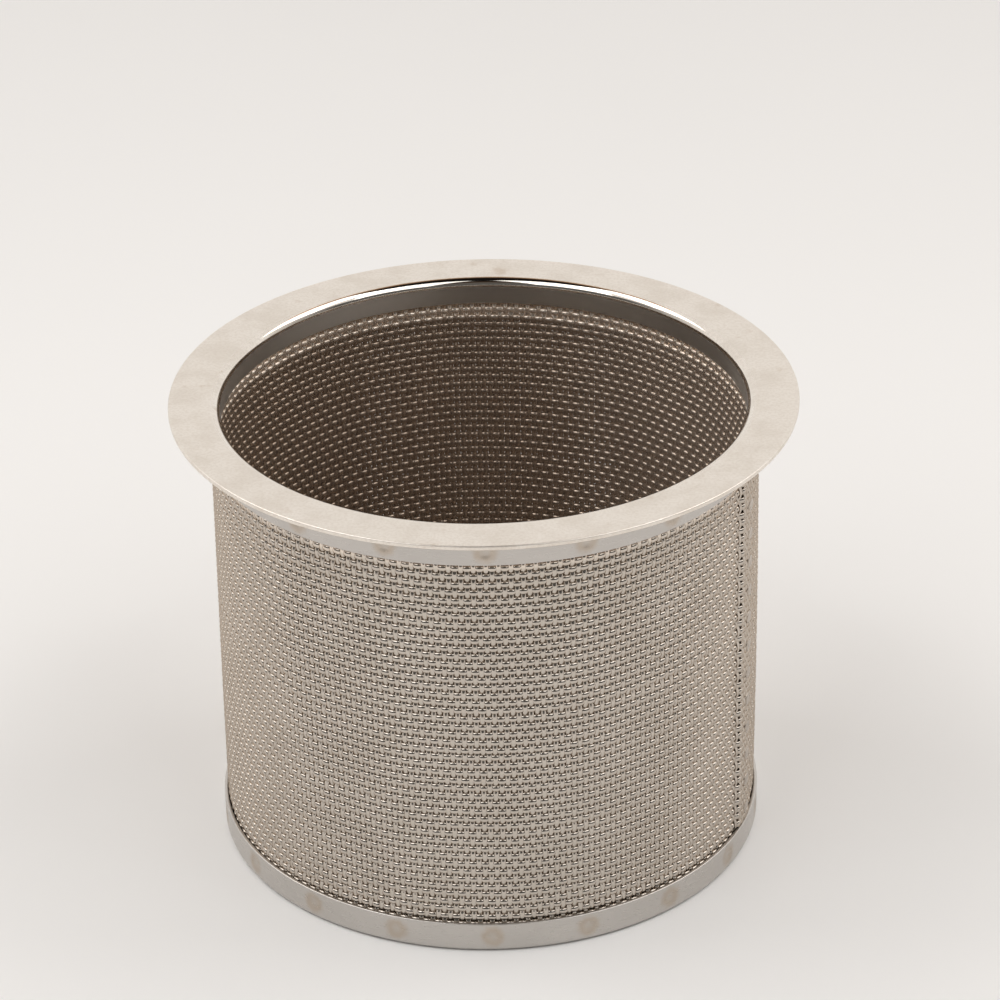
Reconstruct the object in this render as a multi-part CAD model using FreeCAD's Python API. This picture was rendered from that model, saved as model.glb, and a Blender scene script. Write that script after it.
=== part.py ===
"""Teapot infuser: a deep basket of woven stainless wire that hangs from a pressed steel rim.

Millimetres, +Z up. The origin is the centre of the foot, in the plane the basket stands on.
Every piece is turned about the Z axis, so each is drawn as a half section of (radius, height)
corners. Only the lapped seam of the wall stands off that symmetry.
"""
import FreeCAD, Part
import math
import os

# Whole basket
overall_height = 60.0

# Rim, pressed from one sheet: a flat flange whose inner edge is drawn down into a short neck
rim_sheet = 0.6
flange_outer_radius = 39.25
flange_flat_inner_radius = 34.0
lip_bend_radius = 1.1
neck_depth = 3.5
cut_edge_round = 0.15
seat_clearance = 0.4

# Woven wire cloth, rolled flat after weaving
cloth_thickness = 0.88

# Wall: its top edge lies outside the neck, just under the lip's bend
cloth_gap_under_lip = 0.1

# Lapped and welded seam up the wall, pressed flatter than two loose layers
seam_width = 4.5
seam_height_off_wall = 0.5
seam_azimuth = -20.0

# Clamp band round the top of the wall
band_sheet = 0.5
band_depth = 4.5

# Base: a cloth disc whose edge is turned down inside the wall
base_disc_height = 3.0
base_bend_radius = 1.5

# Base ring: a channel of thin sheet folded round both cloth edges, which is also the foot
ring_sheet = 0.5
ring_fold_radius = 0.7
ring_outer_leg_height = 4.0
ring_inner_leg_height = 2.0

# Sizes that follow from those above
flange_underside = overall_height - rim_sheet
neck_inner_radius = flange_flat_inner_radius - lip_bend_radius
neck_outer_radius = neck_inner_radius + rim_sheet
neck_bottom = overall_height - neck_depth
wall_inner_radius = neck_outer_radius
wall_outer_radius = wall_inner_radius + cloth_thickness
wall_top = overall_height - lip_bend_radius - cloth_gap_under_lip
band_bottom = flange_underside - band_depth
band_outer_radius = wall_outer_radius + band_sheet
seat_inner_radius = band_outer_radius + seat_clearance
cloth_bottom = ring_sheet
fold_inside_radius = ring_fold_radius - ring_sheet
skirt_inner_radius = wall_inner_radius - cloth_thickness
ring_outer_radius = wall_outer_radius + ring_sheet
ring_inner_radius = skirt_inner_radius - ring_sheet


def corner_point(radius, height):
    return FreeCAD.Vector(radius, 0.0, height)


def round_corner(before, corner, after, radius):
    """The start, middle and end of the arc that rounds a corner between its two neighbours."""
    towards_before = (before - corner).normalize()
    towards_after = (after - corner).normalize()
    half_angle = towards_before.getAngle(towards_after) / 2.0
    setback = radius / math.tan(half_angle)
    bisector = (towards_before + towards_after).normalize()
    middle = corner + bisector * (radius / math.sin(half_angle) - radius)
    return corner + towards_before * setback, middle, corner + towards_after * setback


def half_section(corners):
    """A closed face from (radius, height, rounding) corners, with an arc at each rounded one."""
    points = [corner_point(r, z) for r, z, _ in corners]
    arcs = []
    for i, (_, _, rounding) in enumerate(corners):
        if rounding > 0.0:
            neighbours = points[i - 1], points[i], points[(i + 1) % len(points)]
            arcs.append(round_corner(*neighbours, rounding))
        else:
            arcs.append((points[i], points[i], points[i]))
    edges = []
    for i, (start, middle, end) in enumerate(arcs):
        if start != end:
            edges.append(Part.Arc(start, middle, end).toShape())
        next_start = arcs[(i + 1) % len(arcs)][0]
        edges.append(Part.LineSegment(end, next_start).toShape())
    return Part.Face(Part.Wire(edges))


def turned(corners, angle=360.0):
    """The solid that a half section sweeps about the Z axis."""
    axis_point = FreeCAD.Vector(0.0, 0.0, 0.0)
    z_axis = FreeCAD.Vector(0.0, 0.0, 1.0)
    return half_section(corners).revolve(axis_point, z_axis, angle)


def make_rim_flange():
    """The underside is parted where the seat, clear of the clamp band, begins."""
    return turned([
        (flange_outer_radius, flange_underside, cut_edge_round),
        (flange_outer_radius, overall_height, cut_edge_round),
        (neck_inner_radius, overall_height, lip_bend_radius),
        (neck_inner_radius, neck_bottom, cut_edge_round),
        (neck_outer_radius, neck_bottom, cut_edge_round),
        (neck_outer_radius, flange_underside, lip_bend_radius - rim_sheet),
        (seat_inner_radius, flange_underside, 0.0),
    ])


def make_clamp_band():
    return turned([
        (wall_outer_radius, flange_underside, 0.0),
        (band_outer_radius, flange_underside, cut_edge_round),
        (band_outer_radius, band_bottom, cut_edge_round),
        (wall_outer_radius, band_bottom, cut_edge_round),
    ])


def make_seam():
    """The second layer of cloth along the lap, between the base ring and the clamp band."""
    middle_of_cloth = (wall_inner_radius + wall_outer_radius) / 2.0
    seam_outer_radius = wall_outer_radius + seam_height_off_wall
    sweep = math.degrees(seam_width / wall_outer_radius)
    seam = turned([
        (middle_of_cloth, ring_outer_leg_height, 0.0),
        (seam_outer_radius, ring_outer_leg_height, 0.0),
        (seam_outer_radius, band_bottom, 0.0),
        (middle_of_cloth, band_bottom, 0.0),
    ], sweep)
    seam.rotate(FreeCAD.Vector(0, 0, 0), FreeCAD.Vector(0, 0, 1), seam_azimuth - sweep / 2.0)
    return seam


def make_wall_cloth():
    wall = turned([
        (wall_inner_radius, cloth_bottom, 0.0),
        (wall_outer_radius, cloth_bottom, fold_inside_radius),
        (wall_outer_radius, wall_top, 0.0),
        (wall_inner_radius, wall_top, 0.0),
    ])
    return wall.fuse(make_seam()).removeSplitter()


def make_base_cloth():
    disc_top = base_disc_height + cloth_thickness
    return turned([
        (0.0, base_disc_height, 0.0),
        (skirt_inner_radius, base_disc_height, base_bend_radius - cloth_thickness),
        (skirt_inner_radius, cloth_bottom, fold_inside_radius),
        (wall_inner_radius, cloth_bottom, 0.0),
        (wall_inner_radius, disc_top, base_bend_radius),
        (0.0, disc_top, 0.0),
    ])


def make_base_ring():
    return turned([
        (ring_inner_radius, 0.0, ring_fold_radius),
        (ring_outer_radius, 0.0, ring_fold_radius),
        (ring_outer_radius, ring_outer_leg_height, cut_edge_round),
        (wall_outer_radius, ring_outer_leg_height, cut_edge_round),
        (wall_outer_radius, ring_sheet, fold_inside_radius),
        (skirt_inner_radius, ring_sheet, fold_inside_radius),
        (skirt_inner_radius, ring_inner_leg_height, cut_edge_round),
        (ring_inner_radius, ring_inner_leg_height, cut_edge_round),
    ])


nodes = {
    "rim_flange": make_rim_flange(),
    "clamp_band": make_clamp_band(),
    "wall_cloth": make_wall_cloth(),
    "base_cloth": make_base_cloth(),
    "base_ring": make_base_ring(),
}

os.makedirs("parts", exist_ok=True)
for name, shape in nodes.items():
    shape.exportStep("parts/" + name + ".step")
    print(name, "valid", shape.isValid(), "solids", len(shape.Solids), "mm3", round(shape.Volume, 1))
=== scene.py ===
"""Teapot infuser: woven wire cloth, pressed rim, clamp band and folded base ring, in metres.

The wall is woven of uprights, which run up it, and hoops, which run round it. A place round the
wall is the number of uprights there from +X, and a row is a hoop's number from the lowest up.
Both have fractions between whole wires.
"""
import math
from collections import namedtuple

import bpy
import numpy as np
from mathutils import Matrix, Vector


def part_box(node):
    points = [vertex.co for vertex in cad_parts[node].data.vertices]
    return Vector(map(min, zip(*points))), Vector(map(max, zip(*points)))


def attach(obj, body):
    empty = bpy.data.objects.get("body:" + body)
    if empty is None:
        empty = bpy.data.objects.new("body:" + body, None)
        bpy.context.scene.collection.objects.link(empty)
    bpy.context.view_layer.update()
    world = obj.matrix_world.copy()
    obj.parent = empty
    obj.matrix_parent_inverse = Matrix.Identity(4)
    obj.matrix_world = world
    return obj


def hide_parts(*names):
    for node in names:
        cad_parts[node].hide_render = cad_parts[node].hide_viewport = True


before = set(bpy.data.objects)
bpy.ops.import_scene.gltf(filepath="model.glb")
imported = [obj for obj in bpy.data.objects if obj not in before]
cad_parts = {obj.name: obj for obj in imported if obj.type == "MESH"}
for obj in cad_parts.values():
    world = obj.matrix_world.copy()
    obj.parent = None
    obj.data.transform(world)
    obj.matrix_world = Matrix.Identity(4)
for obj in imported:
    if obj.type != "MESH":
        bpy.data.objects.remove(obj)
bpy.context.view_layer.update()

MM = 0.001
TURN = 2.0 * math.pi

# Sizes from the frame
RIM_LOW, RIM_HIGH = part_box("rim_flange")
BAND_LOW, BAND_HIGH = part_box("clamp_band")
WALL_LOW, WALL_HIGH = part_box("wall_cloth")
BASE_LOW, BASE_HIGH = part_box("base_cloth")
RING_LOW, RING_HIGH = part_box("base_ring")
RIM_RADIUS = -RIM_LOW.x
RIM_TOP = RIM_HIGH.z
NECK_BOTTOM = RIM_LOW.z
BAND_RADIUS = -BAND_LOW.x
BAND_TOP = BAND_HIGH.z
BAND_BOTTOM = BAND_LOW.z
WALL_RADIUS = -WALL_LOW.x
RING_RADIUS = -RING_LOW.x
RING_TOP = RING_HIGH.z
BASE_RADIUS = -BASE_LOW.x

# Sheet pieces. Edge support is a tiny stretch beside each corner, which keeps its shading crisp
RIM_SHEET = RIM_TOP - BAND_TOP
LIP_BEND = 1.1 * MM
FLANGE_FLAT_INNER = 34.0 * MM
NECK_INNER = FLANGE_FLAT_INNER - LIP_BEND
CUT_EDGE = 0.15 * MM
BAND_COVERED_EDGE = 0.05 * MM
RING_SHEET = RING_RADIUS - WALL_RADIUS
RING_FOLD = 0.7 * MM
RING_INNER_LEG = 2.0 * MM
STEPS_ROUND = 480
STEPS_ROUND_WELDED = 720
EDGE_SUPPORT = 0.03 * MM

# Spot welds through the band and the ring, dished by the electrode, with a low lip round them.
# A dished or pressed face lies a little inside the CAD's, so that its lips stay within it
WELDS_ROUND = 18
WELD_RADIUS = 0.95 * MM
WELD_DEPTH = 0.14 * MM
WELD_LIP_RADII = 1.2
WELD_LIP_SHARPNESS = 5.0
WELD_LIP_SHARE = 0.05
BAND_WELD_HEIGHT = (BAND_TOP + BAND_BOTTOM) / 2.0 - 0.4 * MM
RING_WELD_HEIGHT = 2.2 * MM
FACE_INSET = 0.02 * MM

# Woven cloth. A wire's section is an oval, and its crimp is how far it weaves to each side. The
# last three are in hoop pitches: how far the first hoop is above the lowest that it could be, the
# row where an upright starts, and how far below the wall's top it ends
Wire = namedtuple("Wire", "half_width half_thickness crimp")
UPRIGHT = Wire(0.368 * MM, 0.23 * MM, 0.14 * MM)
HOOP = Wire(0.44 * MM, 0.29 * MM, 0.12 * MM)
WIRE_SIDES = 8
CLOTH = WALL_RADIUS - BASE_RADIUS
CLOTH_RADIUS = WALL_RADIUS - CLOTH / 2.0
UPRIGHTS_ROUND = 288
UPRIGHT_PITCH = TURN * CLOTH_RADIUS / UPRIGHTS_ROUND
HOOP_PITCH = 1.1 * MM
FIRST_HOOP_PITCHES = 0.3
LOWEST_UPRIGHT_ROW = -0.55
UPRIGHT_TOP_GAP = 0.02

# Points on a wire from one crossing to the next. A wall hoop's are the two shoulders and the two
# ends of its level crown over an upright, and the middle of the change to the next crown
UPRIGHT_STEPS = 4
HOOP_STEPS = 3
HOOP_SAMPLES = np.array([-0.42, -0.32, 0.32, 0.42, 0.5])
CROWN_FLATNESS = 5.0

# How many pieces each kind of wire is split into, to keep each piece small
UPRIGHT_GROUPS = 5
HOOP_GROUPS = 7
BASE_GROUPS = 2

# Base cloth: a flat disc whose edge is bent down into a skirt, measured at the cloth's middle
BASE_BEND = 1.5 * MM - CLOTH / 2.0
BASE_FLAT = BASE_RADIUS - CLOTH / 2.0 - BASE_BEND
BASE_EDGE_LEFT_BARE = 0.3 * MM
BASE_FEWEST_STEPS = 4

# How unevenly the wall is woven, as shares of a pitch
WEAVE_SEED = 4
UPRIGHT_UNEVENNESS = 0.008
HOOP_UNEVENNESS = 0.03
HOOP_TILT_WAVES = 3

# The wall's slow ripples: waves round it, phase, lean over its height, and size
RIPPLES = ((6, 0.8, 1.1, 1.0), (11, 2.1, -1.5, 0.8), (17, 0.4, 2.5, 0.5))
RIPPLE_SIZE = 0.12 * MM
RIPPLE_OFFSET = 0.6

# Lapped seam. Its middle, its half width, its rise and its cut ends are in places round the wall
SEAM_AZIMUTH = math.radians(-20.0)
SEAM_WIDTH = 4.5 * MM
SEAM_RADIUS = WALL_RADIUS + 0.5 * MM
SEAM_MIDDLE = SEAM_AZIMUTH / TURN * UPRIGHTS_ROUND
SEAM_HALF = SEAM_WIDTH / WALL_RADIUS / 2.0 / TURN * UPRIGHTS_ROUND
SEAM_UPRIGHT = Wire(0.350 * MM, 0.17 * MM, 0.12 * MM)
SEAM_HOOP = Wire(0.42 * MM, 0.21 * MM, 0.05 * MM)
SEAM_HOOP_POINTS = 33
SEAM_RISE = 1.0
SEAM_RISE_START = SEAM_MIDDLE - SEAM_HALF - SEAM_RISE
SEAM_CUT_SEED = 7
SEAM_CUT_UNEVENNESS = 0.45
SEAM_END_GAP = 0.05 * MM
SEAM_LEAST_GAP = 0.01 * MM
SEAM_WELD_PITCH = 4.0 * MM
SEAM_WELD_RADIUS = 0.85 * MM
SEAM_WELD_THICKNESS = 0.13 * MM
BEAD_CUTS = 10
BEAD_DISH_DEPTH = 0.35
BEAD_DISH_RADII = 0.45

# Flat layouts, in a square from 0 to 1: the share of a wire's that each of its cut ends takes and
# how much of that its cap fills, and where a bead's face, back and side lie
CAP_SHARE = 0.02
CAP_REACH = 0.4
BEAD_LAYOUT_HALF = 0.2
BEAD_FACE_MIDDLE = (0.25, 0.5)
BEAD_BACK_MIDDLE = (0.72, 0.5)
BEAD_SIDE_STRIP = (0.05, 0.05, 0.15, 0.15)

# Colours of the steel, as linear red, green, blue and alpha
RIM_PALE = (0.83, 0.775, 0.71, 1.0)
RIM_WORN = (0.76, 0.70, 0.63, 1.0)
RIM_GRAIN = (0.66, 0.59, 0.51, 1.0)
RIM_STAIN = (0.50, 0.38, 0.27, 1.0)
NECK_COOL = (0.88, 0.93, 0.96, 1.0)
BAND_PALE = (0.58, 0.55, 0.52, 1.0)
BAND_DARK = (0.49, 0.465, 0.44, 1.0)
RING_PALE = (0.60, 0.57, 0.54, 1.0)
RING_DARK = (0.51, 0.485, 0.455, 1.0)
HEAT_TINT = (0.44, 0.34, 0.24, 1.0)
# Tea-stain browns for the inside of the basket, also darkened as painted shade for its shadowed inside
TEA_STAIN_AND_PAINTED_SHADE_BROWN = (0.40, 0.305, 0.23, 1.0)
TEA_STAIN_AND_PAINTED_SHADE_DARK_BROWN = (0.25, 0.185, 0.133, 1.0)
# Tea-stain browns painted lighter, as painted light on the basket's right (+X) side
TEA_STAIN_PAINTED_LIT_BROWN = (0.68, 0.58, 0.49, 1.0)
TEA_STAIN_PAINTED_LIT_DARK_BROWN = (0.47, 0.395, 0.33, 1.0)
BARE_WIRE = (0.60, 0.55, 0.495, 1.0)
DULL_WIRE = (0.50, 0.45, 0.395, 1.0)
# Pale wire painted just under the clamp band, as painted light for the bright band behind the cloth
PAINTED_LIGHT_PALE_WIRE = (0.84, 0.74, 0.64, 1.0)
WIRE_EDGE_TINT = (0.72, 0.62, 0.53, 1.0)
BEAD_PALE = (0.58, 0.52, 0.46, 1.0)
BEAD_DARK = (0.38, 0.33, 0.28, 1.0)

# Stage: a floor, and a sky coloured by how high a direction points, which counts as lower behind
# the basket. Its light is full behind the basket and dim in front
FLOOR_HALF = 3.0
FLOOR_PALE = (0.88, 0.87, 0.855, 1.0)
FLOOR_DARK = (0.85, 0.84, 0.825, 1.0)
SKY_ENDS = ((0.53, (0.94, 0.915, 0.885, 1.0)), (0.88, (0.018, 0.015, 0.013, 1.0)))
SKY_BETWEEN = ((0.61, (0.60, 0.40, 0.25, 1.0)), (0.74, (0.17, 0.095, 0.05, 1.0)))
SKY_DROP_BEHIND = -0.5
SKY_DIM_BEFORE = -0.4
SKY_FULL_BEYOND = 0.3
SKY_FRONT_STRENGTH = 0.13

# Soft boxes: the azimuth in degrees, the width in metres and the power in watts of each
SOFTBOX_ELEVATION = math.radians(48.0)
SOFTBOX_DISTANCE = 0.9
SOFTBOX_HEIGHT = 0.62
SOFTBOXES = (
    ("left_front_softbox", -43.0, 0.54, 2.2),
    ("left_middle_softbox", -72.0, 0.40, 0.6),
    ("left_side_softbox", -101.0, 0.50, 2.1),
    ("right_front_softbox", 42.0, 0.54, 1.9),
    ("right_middle_softbox", 71.0, 0.40, 0.6),
    ("right_side_softbox", 100.0, 0.50, 1.9),
)


# ---------------------------------------------------------------- meshes

def add_mesh(name, shape, material, node):
    """One smooth mesh piece that rides on the basket and stands for a CAD node."""
    vertices, quads, layout = shape
    mesh = bpy.data.meshes.new(name)
    mesh.vertices.add(len(vertices))
    mesh.vertices.foreach_set("co", np.asarray(vertices, np.float32).ravel())
    mesh.loops.add(quads.size)
    mesh.loops.foreach_set("vertex_index", np.asarray(quads, np.int32).ravel())
    mesh.polygons.add(len(quads))
    mesh.polygons.foreach_set("loop_start", np.arange(0, quads.size, 4, dtype=np.int32))
    mesh.polygons.foreach_set("use_smooth", np.ones(len(quads), bool))
    mesh.update(calc_edges=True)
    mesh.uv_layers.new(name="OFBake").uv.foreach_set("vector", np.asarray(layout, np.float32).ravel())
    mesh.validate()
    mesh.materials.append(material)
    piece = bpy.data.objects.new(name, mesh)
    bpy.context.scene.collection.objects.link(piece)
    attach(piece, "root")
    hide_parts(node)


def unit(vectors):
    return vectors / np.linalg.norm(vectors, axis=-1, keepdims=True)


def wire_caps(count, steps, angles):
    """The quads and the layout that close both cut ends of each wire."""
    quads = []
    layouts = []
    wires = np.arange(count)[:, None]
    first = wires * steps * WIRE_SIDES
    last = first + (steps - 1) * WIRE_SIDES
    half_share = 0.5 * CAP_SHARE
    for start, middle, order in ((first, half_share, (2, 1, 0)), (last, 1.0 - half_share, (0, 1, 2))):
        for side in range(1, WIRE_SIDES - 2, 2):
            corners = [0] + [side + number for number in order]
            along = middle + CAP_REACH * CAP_SHARE * np.cos(angles[corners]) + np.zeros((count, 4))
            across = (wires + 0.5 + CAP_REACH * np.sin(angles[corners])) / count
            quads.append(start + corners)
            layouts.append(np.stack([along, across], -1))
    return np.concatenate(quads), np.concatenate(layouts)


def tubes(paths, outward, wire, closed=False):
    """Rolled wires along equal-length paths, capped unless they are closed.

    A shape is its vertices, its quads and the flat layout of each quad's corners.
    """
    count, steps, _ = paths.shape
    if closed:
        tangent = unit(np.roll(paths, -1, 1) - np.roll(paths, 1, 1))
    else:
        tangent = unit(np.gradient(paths, axis=1))
    across = unit(np.cross(tangent, outward))
    up = np.cross(across, tangent)
    angles = np.arange(WIRE_SIDES) * TURN / WIRE_SIDES
    ring = (np.cos(angles) * wire.half_thickness)[:, None] * up[:, :, None, :] \
        + (np.sin(angles) * wire.half_width)[:, None] * across[:, :, None, :]
    vertices = (paths[:, :, None, :] + ring).reshape(-1, 3)

    links = steps if closed else steps - 1
    number, step, side = np.meshgrid(np.arange(count), np.arange(links), np.arange(WIRE_SIDES),
                                     indexing="ij")
    next_step = (step + 1) % steps
    next_side = (side + 1) % WIRE_SIDES

    def corner(at_step, at_side):
        return (number * steps + at_step) * WIRE_SIDES + at_side

    quads = np.stack([corner(step, side), corner(step, next_side),
                      corner(next_step, next_side), corner(next_step, side)], -1).reshape(-1, 4)
    share = np.stack([step, step, step + 1, step + 1], -1) / links
    share_along = CAP_SHARE + (1.0 - 2.0 * CAP_SHARE) * share
    share_round = np.stack([side, side + 1, side + 1, side], -1) / WIRE_SIDES
    share_across = (number[..., None] + share_round) / count
    layout = np.stack([share_along, share_across], -1).reshape(-1, 4, 2)
    if closed:
        return vertices, quads, layout
    cap_quads, cap_layout = wire_caps(count, steps, angles)
    return vertices, np.concatenate([quads, cap_quads]), np.concatenate([layout, cap_layout])


def joined(shapes):
    """One shape from several, their layouts side by side."""
    vertices = []
    quads = []
    layouts = []
    start = 0
    for number, (shape_vertices, shape_quads, layout) in enumerate(shapes):
        vertices.append(shape_vertices)
        quads.append(shape_quads + start)
        layouts.append((layout + (0.0, number)) / (1.0, len(shapes)))
        start += len(shape_vertices)
    return np.concatenate(vertices), np.concatenate(quads), np.concatenate(layouts)


def rounded(corners, arc_steps=8):
    """Points round a closed (radius, height) outline whose corners are (radius, height, rounding)."""
    points = []
    count = len(corners)
    for i, (r, z, rounding) in enumerate(corners):
        here = np.array([r, z])
        if rounding == 0.0:
            points.append(here)
            continue
        before = unit(np.array(corners[i - 1][:2]) - here)
        after = unit(np.array(corners[(i + 1) % count][:2]) - here)
        half = math.acos(float(np.clip(before @ after, -1, 1))) / 2.0
        centre = here + unit(before + after) * rounding / math.sin(half)
        to_start = here + before * rounding / math.tan(half) - centre
        to_end = here + after * rounding / math.tan(half) - centre
        sweep = math.pi - 2.0 * half
        for share in np.linspace(0.0, 1.0, arc_steps + 1):
            start_part = math.sin((1 - share) * sweep) * to_start
            end_part = math.sin(share * sweep) * to_end
            points.append(centre + (start_part + end_part) / math.sin(sweep))
    return np.array(points)


def divided(outline, longest):
    """The outline with its long stretches cut into short ones, the first and last of them tiny."""
    points = []
    for start, end in zip(outline, np.roll(outline, -1, 0)):
        points.append(start)
        length = np.linalg.norm(end - start)
        if length > longest:
            support = EDGE_SUPPORT / length
            cuts = math.ceil(length / longest)
            shares = np.linspace(support, 1.0 - support, cuts + 1)
            points.extend(start + (end - start) * share for share in shares)
    return np.array(points)


def turned(outline, steps, move=None):
    """The shape of an outline turned about Z. move(radius, height, angle) gives its points' radii."""
    count = len(outline)
    radius = np.broadcast_to(outline[:, 0], (steps, count))
    height = np.broadcast_to(outline[:, 1], (steps, count))
    angle = np.broadcast_to((np.arange(steps) * TURN / steps)[:, None], (steps, count))
    if move is not None:
        radius = move(radius, height, angle)
    vertices = np.stack([radius * np.cos(angle), radius * np.sin(angle), height], -1).reshape(-1, 3)
    step, point = np.meshgrid(np.arange(steps), np.arange(count), indexing="ij")
    next_step = (step + 1) % steps
    next_point = (point + 1) % count
    quads = np.stack([step * count + point, next_step * count + point,
                      next_step * count + next_point, step * count + next_point], -1).reshape(-1, 4)
    lengths = np.linalg.norm(np.roll(outline, -1, 0) - outline, axis=1)
    shares = np.append(0.0, np.cumsum(lengths) / lengths.sum())
    share_round = np.stack([step, step + 1, step + 1, step], -1) / steps
    share_along = np.stack([shares[point], shares[point], shares[point + 1], shares[point + 1]], -1)
    return vertices, quads, np.stack([share_round, share_along], -1).reshape(-1, 4, 2)


def beads(centres, outward, radius, thickness):
    """Round flattened beads at some points, each facing outward, with a shallow dish in its face."""
    steps = np.linspace(-1.0, 1.0, BEAD_CUTS + 1)
    a, b = np.meshgrid(steps, steps, indexing="ij")
    disc_a = a * np.sqrt(1.0 - b * b / 2.0)
    disc_b = b * np.sqrt(1.0 - a * a / 2.0)
    reach = np.hypot(disc_a, disc_b)
    dish = BEAD_DISH_DEPTH * np.exp(-(reach / BEAD_DISH_RADII) ** 2)
    face = thickness * (np.sqrt(np.clip(1.0 - reach ** 4, 0.0, 1.0)) - dish)

    size = BEAD_CUTS + 1
    row, column = np.meshgrid(np.arange(BEAD_CUTS), np.arange(BEAD_CUTS), indexing="ij")
    top = np.stack([row * size + column, (row + 1) * size + column,
                    (row + 1) * size + column + 1, row * size + column + 1], -1).reshape(-1, 4)
    edge = np.arange(BEAD_CUTS)
    rim = np.concatenate([edge, edge * size + BEAD_CUTS,
                          size * size - 1 - edge, size * (size - 1) - edge * size])
    next_rim = np.roll(rim, -1)
    side = np.stack([rim, next_rim, next_rim + size * size, rim + size * size], -1)
    quads = np.concatenate([top, top[:, ::-1] + size * size, side])

    disc_layout = np.stack([a, b], -1).reshape(-1, 2) * BEAD_LAYOUT_HALF
    both_discs = np.concatenate([disc_layout + BEAD_FACE_MIDDLE, disc_layout + BEAD_BACK_MIDDLE])
    layout = both_discs[quads]
    number = np.arange(len(side))
    share_round = np.stack([number, number + 1, number + 1, number], -1) / len(side)
    side_strip = np.broadcast_to(BEAD_SIDE_STRIP, (len(side), 4))
    layout[-len(side):] = np.stack([share_round, side_strip], -1)

    shapes = []
    for centre, out in zip(centres, outward):
        level = unit(np.cross((0.0, 0.0, 1.0), out))
        flat = disc_a[..., None] * level * radius + disc_b[..., None] * np.array((0.0, 0.0, radius))
        upper = centre + flat + face[..., None] * out
        lower = centre + flat - thickness * out
        vertices = np.concatenate([upper.reshape(-1, 3), lower.reshape(-1, 3)])
        shapes.append((vertices, quads, layout))
    return joined(shapes)


# ---------------------------------------------------------------- materials

class Nodes:
    """A short way to write a procedural material's node tree."""

    def __init__(self, name):
        self.material = bpy.data.materials.new(name)
        self.material.use_nodes = True
        self.tree = self.material.node_tree
        self.shader = self.tree.nodes["Principled BSDF"]

    def node(self, kind, **settings):
        made = self.tree.nodes.new(kind)
        for key, value in settings.items():
            setattr(made, key, value)
        return made

    def feed(self, socket, value):
        if isinstance(value, bpy.types.NodeSocket):
            self.tree.links.new(value, socket)
        else:
            socket.default_value = value

    def math(self, operation, a, b=0.0, clamp=False):
        made = self.node("ShaderNodeMath", operation=operation, use_clamp=clamp)
        self.feed(made.inputs[0], a)
        self.feed(made.inputs[1], b)
        return made.outputs[0]

    def hypotenuse(self, a, b):
        return self.math("SQRT", self.math("ADD", self.math("MULTIPLY", a, a), self.math("MULTIPLY", b, b)))

    def place(self, scale=(1.0, 1.0, 1.0)):
        """The surface point in the object's own frame, scaled to stretch a noise."""
        coordinates = self.node("ShaderNodeTexCoord")
        mapping = self.node("ShaderNodeMapping")
        mapping.inputs["Scale"].default_value = scale
        self.feed(mapping.inputs["Vector"], coordinates.outputs["Object"])
        return mapping.outputs[0]

    def noise(self, place, scale, detail=3.0, roughness=0.55):
        made = self.node("ShaderNodeTexNoise")
        self.feed(made.inputs["Vector"], place)
        made.inputs["Scale"].default_value = scale
        made.inputs["Detail"].default_value = detail
        made.inputs["Roughness"].default_value = roughness
        return made.outputs["Fac"]

    def ramp(self, value, low, high, to_low=0.0, to_high=1.0):
        made = self.node("ShaderNodeMapRange", interpolation_type="SMOOTHSTEP")
        for socket, number in zip(made.inputs, (value, low, high, to_low, to_high)):
            self.feed(socket, number)
        return made.outputs[0]

    def mix(self, factor, a, b):
        made = self.node("ShaderNodeMix", data_type="RGBA")
        self.feed(made.inputs[0], factor)
        self.feed(made.inputs[6], a)
        self.feed(made.inputs[7], b)
        return made.outputs[2]

    def position(self):
        """The surface point's x, y and z in the object's own frame."""
        parts = self.node("ShaderNodeSeparateXYZ")
        self.feed(parts.inputs[0], self.node("ShaderNodeTexCoord").outputs["Object"])
        return parts.outputs

    def cylinder(self):
        """Radius, angle and height of the surface point in the object's own frame."""
        x, y, z = self.position()
        return self.hypotenuse(x, y), self.math("ARCTAN2", y, x), z

    def bump(self, height, strength, distance):
        made = self.node("ShaderNodeBump")
        made.inputs["Strength"].default_value = strength
        made.inputs["Distance"].default_value = distance
        self.feed(made.inputs["Height"], height)
        return made.outputs[0]

    def lines_round(self, radius, angle, height, reach):
        """A point for noise that runs in lines round the basket: it goes round a circle of small reach."""
        made = self.node("ShaderNodeCombineXYZ")
        self.feed(made.inputs[0], self.math("MULTIPLY", self.math("COSINE", angle), reach))
        self.feed(made.inputs[1], self.math("MULTIPLY", self.math("SINE", angle), reach))
        self.feed(made.inputs[2], self.math("ADD", radius, height))
        return made.outputs[0]


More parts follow.
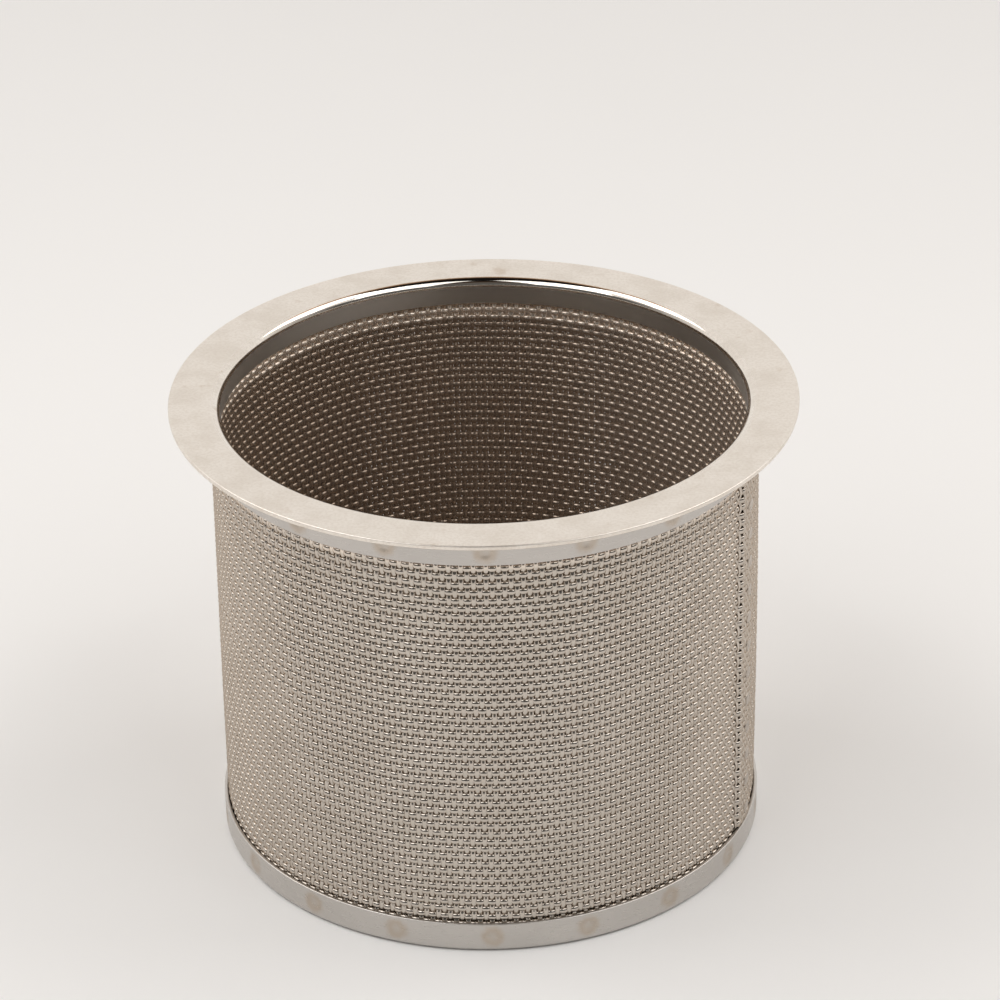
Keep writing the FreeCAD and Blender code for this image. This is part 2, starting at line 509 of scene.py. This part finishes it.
def rim_material():
    """One sheet: a satin flat with faint stains, a polished bend and a smooth neck."""
    n = Nodes("satin_rim_steel")
    radius, _, height = n.cylinder()
    place = n.place()
    satin = n.ramp(radius, FLANGE_FLAT_INNER - 0.5 * MM, FLANGE_FLAT_INNER + 0.1 * MM)
    grain = n.noise(place, scale=2600.0, detail=2.0)
    cloud = n.noise(place, scale=90.0, detail=4.0)
    patch = n.ramp(n.noise(place, scale=200.0, detail=4.0, roughness=0.65), 0.38, 0.66)
    stain = n.ramp(n.noise(place, scale=260.0, detail=3.0), 0.62, 0.78)
    paler_tone = n.mix(patch, RIM_PALE, RIM_WORN)
    speckled = n.mix(n.math("MULTIPLY", n.ramp(grain, 0.40, 0.65), 0.30), paler_tone, RIM_GRAIN)
    colour = n.mix(n.math("MULTIPLY", stain, 0.45), speckled, RIM_STAIN)
    bend_bottom = RIM_TOP - LIP_BEND - 0.1 * MM
    below = n.ramp(height, bend_bottom, RIM_TOP - 0.8 * LIP_BEND, 1.0, 0.0)
    n.feed(n.shader.inputs["Base Color"], n.mix(below, colour, NECK_COOL))
    n.shader.inputs["Metallic"].default_value = 1.0
    matte = n.math("ADD", n.math("MULTIPLY", grain, 0.16), 0.26)
    neck = n.ramp(height, bend_bottom, RIM_TOP - 0.7 * LIP_BEND, 0.26, 0.05)
    polished = n.math("ADD", n.math("MULTIPLY", cloud, 0.05), neck)
    gap = n.math("SUBTRACT", matte, polished)
    n.feed(n.shader.inputs["Roughness"], n.math("ADD", polished, n.math("MULTIPLY", gap, satin)))
    n.feed(n.shader.inputs["Normal"], n.bump(n.math("MULTIPLY", grain, satin), 0.25, 0.02 * MM))
    return n.material


def sheet_material(name, pale, dark, weld_height):
    """Plain rolled sheet: fine lines round the piece, and a mottled heat tint at its spot welds."""
    n = Nodes(name)
    radius, angle, height = n.cylinder()
    lines = n.noise(n.lines_round(radius, angle, height, 2.0 * MM), scale=9000.0, detail=2.0)
    cloud = n.noise(n.place(), scale=110.0, detail=4.0)
    paler_tone = n.mix(cloud, pale, dark)
    weld_number = n.math("MULTIPLY", angle, WELDS_ROUND / TURN)
    off_weld = n.math("SUBTRACT", n.math("FRACT", weld_number), 0.5)
    along = n.math("MULTIPLY", off_weld, TURN * BAND_RADIUS / WELDS_ROUND)
    distance = n.hypotenuse(along, n.math("SUBTRACT", height, weld_height))
    mottle = n.noise(n.place(), scale=1200.0, detail=4.0, roughness=0.6)
    ragged = n.math("ADD", distance, n.math("MULTIPLY", mottle, WELD_RADIUS))
    halo = n.ramp(ragged, 1.4 * WELD_RADIUS, 2.5 * WELD_RADIUS, 0.5, 0.0)
    paler_heart = n.ramp(ragged, 0.6 * WELD_RADIUS, 1.6 * WELD_RADIUS, 0.5, 1.0)
    n.feed(n.shader.inputs["Base Color"], n.mix(n.math("MULTIPLY", halo, paler_heart), paler_tone, HEAT_TINT))
    n.shader.inputs["Metallic"].default_value = 1.0
    n.feed(n.shader.inputs["Roughness"], n.math("ADD", n.math("MULTIPLY", lines, 0.20), 0.20))
    n.feed(n.shader.inputs["Normal"], n.bump(lines, 0.20, 0.02 * MM))
    return n.material


def outer_side(n, normal):
    """1 where a surface faces out of the basket or down under its base, 0 where it faces inside."""
    x, y, height = n.position()
    radius = n.hypotenuse(x, y)
    out_x = n.math("MULTIPLY", normal[0], n.math("DIVIDE", x, radius))
    out_y = n.math("MULTIPLY", normal[1], n.math("DIVIDE", y, radius))
    at_base = n.ramp(height, BASE_HIGH.z, BASE_HIGH.z + 0.3 * MM, -1.0, 0.0)
    under = n.math("MULTIPLY", normal[2], at_base)
    return n.ramp(n.math("MAXIMUM", n.math("ADD", out_x, out_y), under), -0.15, 0.35)


def wire_material():
    """Rolled wire, browned by tea and darkened by painted shade inside the basket and cleaner outside it,
    with painted light making it paler on its right (+X) side and near the clamp band.
    """
    n = Nodes("woven_wire_steel")
    cloud = n.noise(n.place(), scale=160.0, detail=4.0)
    draw_lines = n.noise(n.place(scale=(1.0, 1.0, 0.1)), scale=9000.0, detail=2.0)
    x, _, height = n.position()
    # Painted light: the inside browns are painted lighter towards +X, the basket's right side as the camera
    # sees it
    painted_light_right_side = n.ramp(x, 2.0 * MM, 30.0 * MM)
    brown = n.mix(painted_light_right_side, TEA_STAIN_AND_PAINTED_SHADE_BROWN, TEA_STAIN_PAINTED_LIT_BROWN)
    dark_brown = n.mix(painted_light_right_side, TEA_STAIN_AND_PAINTED_SHADE_DARK_BROWN, TEA_STAIN_PAINTED_LIT_DARK_BROWN)
    facing = n.node("ShaderNodeSeparateXYZ")
    n.feed(facing.inputs[0], n.node("ShaderNodeTexCoord").outputs["Normal"])
    settled = n.math("MULTIPLY", n.ramp(facing.outputs[2], -0.4, 0.7), 0.6)
    deposit = n.math("ADD", n.math("MULTIPLY", cloud, 0.5), settled, clamp=True)
    outside = outer_side(n, facing.outputs)
    bare = n.mix(cloud, BARE_WIRE, DULL_WIRE)
    # Inside faces take the tea-stain browns, darkened as painted shade, and outside faces are bare wire
    stain_painted_shade_and_bare = n.mix(outside, n.mix(deposit, brown, dark_brown), bare)
    # Painted light: a ragged pale band of wire just under the clamp band, standing for the band's
    # brightness behind the cloth
    edge = n.math("ADD", height, n.math("MULTIPLY", cloud, 1.6 * MM))
    paler_tone = n.ramp(edge, BAND_BOTTOM - 0.5 * MM, BAND_BOTTOM + 0.9 * MM)
    n.feed(n.shader.inputs["Base Color"], n.mix(paler_tone, stain_painted_shade_and_bare, PAINTED_LIGHT_PALE_WIRE))
    n.feed(n.shader.inputs["Metallic"], n.math("ADD", n.math("MULTIPLY", outside, 0.3), 0.7))
    n.shader.inputs["Specular Tint"].default_value = WIRE_EDGE_TINT
    n.feed(n.shader.inputs["Roughness"], n.math("ADD", n.math("MULTIPLY", draw_lines, 0.08), 0.07))
    return n.material


def weld_material():
    """Wire melted and pressed flat by a welding electrode, with a mottled heat tint."""
    n = Nodes("seam_spot_weld_steel")
    mottle = n.noise(n.place(), scale=1500.0, detail=4.0, roughness=0.6)
    n.feed(n.shader.inputs["Base Color"], n.mix(mottle, BEAD_PALE, BEAD_DARK))
    n.shader.inputs["Metallic"].default_value = 1.0
    n.feed(n.shader.inputs["Roughness"], n.math("ADD", n.math("MULTIPLY", mottle, 0.25), 0.20))
    n.feed(n.shader.inputs["Normal"], n.bump(mottle, 0.3, 0.03 * MM))
    return n.material


# ---------------------------------------------------------------- sheet pieces

def dented(face_radius, weld_height):
    """A rule for turned() that dents a sheet's outer face at its spot welds."""
    def radii(radius, height, angle):
        along = (np.mod(angle * WELDS_ROUND / TURN, 1.0) - 0.5) * TURN * face_radius / WELDS_ROUND
        distance = np.hypot(along, height - weld_height) / WELD_RADIUS
        dent = np.clip(1.0 - distance ** 2, 0.0, 1.0)
        lip = np.exp(-((distance - WELD_LIP_RADII) * WELD_LIP_SHARPNESS) ** 2)
        on_face = np.abs(radius - face_radius) < FACE_INSET
        face = radius - WELD_DEPTH * dent + WELD_LIP_SHARE * WELD_DEPTH * lip - FACE_INSET
        return np.where(on_face, face, radius)
    return radii


def make_rim_flange():
    outline = rounded([
        (RIM_RADIUS, RIM_TOP - RIM_SHEET, CUT_EDGE),
        (RIM_RADIUS, RIM_TOP, CUT_EDGE),
        (NECK_INNER, RIM_TOP, LIP_BEND),
        (NECK_INNER, NECK_BOTTOM, CUT_EDGE),
        (NECK_INNER + RIM_SHEET, NECK_BOTTOM, CUT_EDGE),
        (NECK_INNER + RIM_SHEET, RIM_TOP - RIM_SHEET, LIP_BEND - RIM_SHEET),
    ], arc_steps=12)
    shape = turned(divided(outline, longest=0.5 * MM), STEPS_ROUND)
    add_mesh("rim_flange_sheet", shape, rim_material(), "rim_flange")


def make_clamp_band():
    outline = rounded([
        (WALL_RADIUS, BAND_TOP, BAND_COVERED_EDGE),
        (BAND_RADIUS, BAND_TOP, CUT_EDGE),
        (BAND_RADIUS, BAND_BOTTOM, CUT_EDGE),
        (WALL_RADIUS, BAND_BOTTOM, CUT_EDGE),
    ])
    dents = dented(BAND_RADIUS, BAND_WELD_HEIGHT)
    shape = turned(divided(outline, longest=0.2 * MM), STEPS_ROUND_WELDED, dents)
    material = sheet_material("clamp_band_steel", BAND_PALE, BAND_DARK, BAND_WELD_HEIGHT)
    add_mesh("clamp_band_sheet", shape, material, "clamp_band")


def make_base_ring():
    fold_inside = RING_FOLD - RING_SHEET
    skirt_inner = BASE_RADIUS - CLOTH
    outline = rounded([
        (skirt_inner - RING_SHEET, 0.0, RING_FOLD),
        (RING_RADIUS, 0.0, RING_FOLD),
        (RING_RADIUS, RING_TOP, CUT_EDGE),
        (WALL_RADIUS, RING_TOP, CUT_EDGE),
        (WALL_RADIUS, RING_SHEET, fold_inside),
        (skirt_inner, RING_SHEET, fold_inside),
        (skirt_inner, RING_INNER_LEG, CUT_EDGE),
        (skirt_inner - RING_SHEET, RING_INNER_LEG, CUT_EDGE),
    ], arc_steps=6)
    dents = dented(RING_RADIUS, RING_WELD_HEIGHT)
    shape = turned(divided(outline, longest=0.3 * MM), STEPS_ROUND_WELDED, dents)
    material = sheet_material("base_ring_steel", RING_PALE, RING_DARK, RING_WELD_HEIGHT)
    add_mesh("base_ring_sheet", shape, material, "base_ring")


# ---------------------------------------------------------------- woven cloth

def slow_wave(angle, height):
    """How far the rolled wall stands off a true cylinder, nothing at its clamped edges and its seam."""
    along = np.clip((height - RING_TOP) / (BAND_BOTTOM - RING_TOP), 0.0, 1.0)
    off_seam = np.abs(np.mod(angle - SEAM_AZIMUTH + TURN / 2.0, TURN) - TURN / 2.0) * WALL_RADIUS
    free_of_seam = np.clip((off_seam - SEAM_WIDTH / 2.0) / SEAM_WIDTH, 0.0, 1.0)
    free = np.sin(along * math.pi) ** 0.5 * free_of_seam
    ripples = sum(size * np.cos(waves * angle + phase + lean * along)
                  for waves, phase, lean, size in RIPPLES)
    return RIPPLE_SIZE * free * (ripples - RIPPLE_OFFSET)


def wall_point(place, height, off_middle):
    """A point on the wall, off the cloth's middle by a distance, and the way outward there."""
    angle = place * TURN / UPRIGHTS_ROUND
    radius = CLOTH_RADIUS + off_middle + slow_wave(angle, height)
    outward = np.stack([np.cos(angle), np.sin(angle), np.zeros_like(angle)], -1)
    return np.stack([radius * np.cos(angle), radius * np.sin(angle), height], -1), outward


def alternating(numbers, first):
    """The side that each wire starts its weave on: first for the even ones, the other for the odd."""
    return np.where(numbers % 2 == 0, first, -first)[:, None]


def flattened(crossings):
    """The crimp of a rolled wire, from 1 to -1: level crowns with steep changes between them."""
    return np.tanh(CROWN_FLATNESS * np.cos(math.pi * crossings)) / math.tanh(CROWN_FLATNESS)


class Weave:
    """Where the wall's wires lie: hoops one above another, uprights side by side, neither quite even."""

    def __init__(self):
        self.low = WALL_LOW.z + HOOP.half_width
        self.rows = int((WALL_HIGH.z - self.low) / HOOP_PITCH)
        jitter = np.random.RandomState(WEAVE_SEED)
        self.upright_shift = jitter.normal(0.0, UPRIGHT_UNEVENNESS, UPRIGHTS_ROUND)
        self.hoop_shift = jitter.normal(0.0, HOOP_UNEVENNESS, self.rows + 1)
        self.hoop_tilt = jitter.normal(0.0, HOOP_UNEVENNESS, self.rows + 1)

    def height(self, row, place):
        """The height of a row at a place round the wall."""
        numbers = np.arange(self.rows + 1)
        wobble = np.interp(row, numbers, self.hoop_shift)
        wave = np.sin(place * TURN / UPRIGHTS_ROUND * HOOP_TILT_WAVES + row)
        tilt = np.interp(row, numbers, self.hoop_tilt) * wave
        return self.low + (row + FIRST_HOOP_PITCHES + wobble + tilt) * HOOP_PITCH

    def row_at(self, height):
        """The number of the row at a height, on a weave with no unevenness."""
        return (height - self.low) / HOOP_PITCH - FIRST_HOOP_PITCHES


def make_wall_uprights(material, weave):
    steps = int((WALL_HIGH.z - WALL_LOW.z) / HOOP_PITCH * UPRIGHT_STEPS)
    row = np.linspace(LOWEST_UPRIGHT_ROW, weave.row_at(WALL_HIGH.z) - UPRIGHT_TOP_GAP, steps + 1)
    for group, uprights in enumerate(np.array_split(np.arange(UPRIGHTS_ROUND), UPRIGHT_GROUPS)):
        middles = uprights + weave.upright_shift[uprights]
        places = np.broadcast_to(middles[:, None], (len(uprights), steps + 1))
        rows = np.broadcast_to(row, places.shape)
        crimp = UPRIGHT.crimp * alternating(uprights, 1.0) * np.cos(math.pi * rows)
        shape = tubes(*wall_point(places, weave.height(rows, places), crimp), UPRIGHT)
        add_mesh(f"wall_upright_wires_{group + 1}", shape, material, "wall_cloth")


def make_wall_hoops(material, weave):
    samples = (np.arange(UPRIGHTS_ROUND)[:, None] + HOOP_SAMPLES).ravel()
    shift = np.interp(samples, np.arange(UPRIGHTS_ROUND), weave.upright_shift, period=UPRIGHTS_ROUND)
    for group, hoops in enumerate(np.array_split(np.arange(weave.rows), HOOP_GROUPS)):
        places = np.broadcast_to(samples + shift, (len(hoops), len(samples)))
        rows = np.broadcast_to(hoops[:, None].astype(float), places.shape)
        crimp = HOOP.crimp * alternating(hoops, -1.0) * flattened(samples)
        shape = tubes(*wall_point(places, weave.height(rows, places), crimp), HOOP, closed=True)
        add_mesh(f"wall_hoop_wires_{group + 1}", shape, material, "wall_cloth")


def seam_lift(place):
    """How far the lap's outer layer has risen off the wall's own layer at a place round the wall."""
    top = SEAM_RADIUS - FACE_INSET - SEAM_UPRIGHT.half_thickness - SEAM_UPRIGHT.crimp - CLOTH_RADIUS
    share = np.clip((place - SEAM_RISE_START) / SEAM_RISE, 0.0, 1.0)
    return top * share * share * (3.0 - 2.0 * share)


def make_seam_hoops(material, weave):
    """The hoops' ends in the lap: each leaves the wall's own layer and ends in a cut."""
    numbers = np.arange(weave.rows)
    heights = weave.height(numbers.astype(float), np.full(weave.rows, SEAM_MIDDLE))
    above_ring = heights > RING_TOP + SEAM_HOOP.half_width
    below_band = heights < BAND_BOTTOM - SEAM_HOOP.half_width
    hoops = numbers[above_ring & below_band]
    jitter = np.random.RandomState(SEAM_CUT_SEED)
    cut = SEAM_MIDDLE + SEAM_HALF + jitter.uniform(-SEAM_CUT_UNEVENNESS, 0.0, len(hoops))
    share = np.linspace(0.0, 1.0, SEAM_HOOP_POINTS)
    places = SEAM_RISE_START + (cut - SEAM_RISE_START)[:, None] * share
    rows = np.broadcast_to(hoops[:, None].astype(float), places.shape)
    crimp = SEAM_HOOP.crimp * alternating(hoops, 1.0) * np.cos(math.pi * (places - 0.5))
    shape = tubes(*wall_point(places, weave.height(rows, places), seam_lift(places) + crimp), SEAM_HOOP)
    add_mesh("wall_seam_hoop_ends", shape, material, "wall_cloth")


def make_seam_uprights(material, weave):
    """The lap's own upright wires, halfway between the wall's, from the ring to the band."""
    first = round(SEAM_MIDDLE - SEAM_HALF) - 1
    last = round(SEAM_MIDDLE + SEAM_HALF) - 1
    uprights = np.arange(first, last)
    lowest = weave.row_at(RING_TOP + SEAM_END_GAP)
    highest = weave.row_at(BAND_BOTTOM - SEAM_END_GAP)
    row = np.linspace(lowest, highest, int((highest - lowest) * UPRIGHT_STEPS) + 1)
    places = np.broadcast_to(uprights[:, None] + 0.5, (len(uprights), len(row)))
    rows = np.broadcast_to(row, places.shape)
    crimp = SEAM_UPRIGHT.crimp * alternating(uprights, -1.0) * np.cos(math.pi * rows)
    height = np.clip(weave.height(rows, places), RING_TOP + SEAM_LEAST_GAP, BAND_BOTTOM - SEAM_LEAST_GAP)
    shape = tubes(*wall_point(places, height, seam_lift(places) + crimp), SEAM_UPRIGHT)
    add_mesh("wall_seam_upright_wires", shape, material, "wall_cloth")


def make_seam_welds():
    """Spot welds up the lap, each a bead on the outside and another on the inside."""
    heights = np.arange(RING_TOP + SEAM_WELD_PITCH / 2.0, BAND_BOTTOM - SEAM_WELD_PITCH / 4.0,
                        SEAM_WELD_PITCH)
    out = np.array([math.cos(SEAM_AZIMUTH), math.sin(SEAM_AZIMUTH), 0.0])
    up = np.array([0.0, 0.0, 1.0])
    outer = [out * (SEAM_RADIUS - SEAM_WELD_THICKNESS) + up * z for z in heights]
    inner = [out * (WALL_RADIUS - CLOTH + SEAM_WELD_THICKNESS) + up * z for z in heights]
    facing = [out] * len(outer) + [-out] * len(inner)
    shape = beads(outer + inner, facing, SEAM_WELD_RADIUS, SEAM_WELD_THICKNESS)
    add_mesh("wall_seam_spot_welds", shape, weld_material(), "wall_cloth")


def base_point(x, y, crimp):
    """A point of the base cloth, laid flat at x, y: beyond the flat disc it bends down into the skirt."""
    middle = BASE_HIGH.z - CLOTH / 2.0
    reach = np.hypot(x, y)
    bend = np.clip((reach - BASE_FLAT) / BASE_BEND, 0.0, math.pi / 2.0)
    down = np.maximum(reach - BASE_FLAT - BASE_BEND * math.pi / 2.0, 0.0)
    radius = np.minimum(reach, BASE_FLAT) + (BASE_BEND + crimp) * np.sin(bend)
    height = middle - BASE_BEND + (BASE_BEND + crimp) * np.cos(bend) - down
    above_zero = np.maximum(reach, 1e-9)
    out_x = x / above_zero
    out_y = y / above_zero
    outward = np.stack([np.sin(bend) * out_x, np.sin(bend) * out_y, np.cos(bend)], -1)
    return np.stack([radius * out_x, radius * out_y, height], -1), outward


def base_wires(across_pitch, along_pitch, along_y, wire, steps_per_crossing):
    """The shapes of one set of the base's wires, straight seen from above and bent down at both ends."""
    straight_down = BASE_HIGH.z - CLOTH / 2.0 - BASE_BEND - BASE_LOW.z
    reach = BASE_FLAT + BASE_BEND * math.pi / 2.0 + straight_down
    count = int(reach / across_pitch)
    shapes = []
    for number in range(-count, count + 1):
        across = (number + 0.5) * across_pitch
        if abs(across) > reach - BASE_EDGE_LEFT_BARE:
            continue
        half = math.sqrt(reach ** 2 - across ** 2)
        steps = max(BASE_FEWEST_STEPS, int(2.0 * half / along_pitch * steps_per_crossing))
        along = np.linspace(-half, half, steps + 1)
        side = (1.0 if number % 2 == 0 else -1.0) * (-1.0 if along_y else 1.0)
        crimp = side * wire.crimp * np.cos(math.pi * (along / along_pitch - 0.5))
        fixed = np.full_like(along, across)
        x, y = (fixed, along) if along_y else (along, fixed)
        path, outward = base_point(x, y, crimp)
        shapes.append(tubes(path[None], outward[None], wire))
    return shapes


def make_base(material):
    cross_wires = base_wires(HOOP_PITCH, UPRIGHT_PITCH, False, HOOP, HOOP_STEPS)
    long_wires = base_wires(UPRIGHT_PITCH, HOOP_PITCH, True, UPRIGHT, UPRIGHT_STEPS)
    for name, wires in (("base_cross_wires", cross_wires), ("base_long_wires", long_wires)):
        for group, chosen in enumerate(np.array_split(np.arange(len(wires)), BASE_GROUPS)):
            shape = joined([wires[number] for number in chosen])
            add_mesh(f"{name}_{group + 1}", shape, material, "base_cloth")


# ---------------------------------------------------------------- stage, light and camera

def make_floor():
    n = Nodes("pale_floor")
    cloud = n.noise(n.place(), scale=6.0, detail=3.0)
    n.feed(n.shader.inputs["Base Color"], n.mix(cloud, FLOOR_PALE, FLOOR_DARK))
    n.shader.inputs["Roughness"].default_value = 0.7
    mesh = bpy.data.meshes.new("floor")
    corners = [(-FLOOR_HALF, -FLOOR_HALF, 0), (FLOOR_HALF, -FLOOR_HALF, 0),
               (FLOOR_HALF, FLOOR_HALF, 0), (-FLOOR_HALF, FLOOR_HALF, 0)]
    mesh.from_pydata(corners, [], [(0, 1, 2, 3)])
    mesh.materials.append(n.material)
    floor = bpy.data.objects.new("floor", mesh)
    bpy.context.scene.collection.objects.link(floor)


def make_softbox(name, azimuth, width, power):
    """A soft area light that faces the basket. Azimuth 0 is the camera's side, and it grows rightward."""
    light = bpy.data.lights.new(name, "AREA")
    light.shape = "RECTANGLE"
    light.size = width
    light.size_y = SOFTBOX_HEIGHT
    light.energy = power
    lamp = bpy.data.objects.new(name, light)
    angle = math.radians(azimuth)
    level = math.cos(SOFTBOX_ELEVATION)
    away = Vector((math.sin(angle) * level, -math.cos(angle) * level, math.sin(SOFTBOX_ELEVATION)))
    lamp.location = Vector((0.0, 0.0, RIM_TOP)) + away * SOFTBOX_DISTANCE
    lamp.rotation_mode = "QUATERNION"
    lamp.rotation_quaternion = away.to_track_quat("Z", "Y")
    bpy.context.scene.collection.objects.link(lamp)


def make_world():
    """Pale all round low down and further up behind the basket, then amber, dark overhead."""
    world = bpy.data.worlds.new("studio")
    bpy.context.scene.world = world
    world.use_nodes = True
    tree = world.node_tree
    background = tree.nodes["Background"]
    coordinates = tree.nodes.new("ShaderNodeTexCoord")
    parts = tree.nodes.new("ShaderNodeSeparateXYZ")
    tree.links.new(coordinates.outputs["Generated"], parts.inputs[0])

    behind = tree.nodes.new("ShaderNodeMapRange")
    behind.inputs["To Max"].default_value = SKY_DROP_BEHIND
    tree.links.new(parts.outputs["Y"], behind.inputs["Value"])
    height = tree.nodes.new("ShaderNodeMath")
    height.operation = "ADD"
    tree.links.new(parts.outputs["Z"], height.inputs[0])
    tree.links.new(behind.outputs[0], height.inputs[1])
    ramp = tree.nodes.new("ShaderNodeValToRGB")
    tree.links.new(height.outputs[0], ramp.inputs[0])
    stops = ramp.color_ramp.elements
    for number, (position, colour) in enumerate(SKY_ENDS):
        stops[number].position = position
        stops[number].color = colour
    for position, colour in SKY_BETWEEN:
        stops.new(position).color = colour

    side = tree.nodes.new("ShaderNodeMapRange")
    side.inputs["From Min"].default_value = SKY_DIM_BEFORE
    side.inputs["From Max"].default_value = SKY_FULL_BEYOND
    side.inputs["To Min"].default_value = SKY_FRONT_STRENGTH
    side.inputs["To Max"].default_value = 1.0
    tree.links.new(parts.outputs["Y"], side.inputs["Value"])
    tree.links.new(ramp.outputs[0], background.inputs["Color"])
    tree.links.new(side.outputs[0], background.inputs["Strength"])


def make_camera():
    pitch = math.radians(28.55)
    roll = math.radians(0.96)
    distance = 498.0 * MM
    rim_right = -2.04 * MM
    rim_above = 13.36 * MM
    forward = Vector((0.0, math.cos(pitch), -math.sin(pitch)))
    level_up = Vector((0.0, math.sin(pitch), math.cos(pitch)))
    level_right = Vector((1.0, 0.0, 0.0))
    right = level_right * math.cos(roll) - level_up * math.sin(roll)
    up = level_right * math.sin(roll) + level_up * math.cos(roll)
    data = bpy.data.cameras.new("camera")
    data.lens = 144.0
    data.sensor_width = 36.0
    data.clip_start = 0.01
    camera = bpy.data.objects.new("camera", data)
    rim_centre = Vector((0.0, 0.0, RIM_TOP))
    place = rim_centre - right * rim_right - up * rim_above - forward * distance
    camera.matrix_world = Matrix.Translation(place) @ Matrix((right, up, -forward)).transposed().to_4x4()
    bpy.context.scene.collection.objects.link(camera)
    bpy.context.scene.camera = camera


make_rim_flange()
make_clamp_band()
make_base_ring()
cloth_material = wire_material()
wall_weave = Weave()
make_wall_uprights(cloth_material, wall_weave)
make_wall_hoops(cloth_material, wall_weave)
make_seam_hoops(cloth_material, wall_weave)
make_seam_uprights(cloth_material, wall_weave)
make_seam_welds()
make_base(cloth_material)
make_floor()
make_world()
for softbox_name, softbox_azimuth, softbox_width, softbox_power in SOFTBOXES:
    make_softbox(softbox_name, softbox_azimuth, softbox_width, softbox_power)
make_camera()
bpy.context.scene.view_settings.view_transform = "Standard"
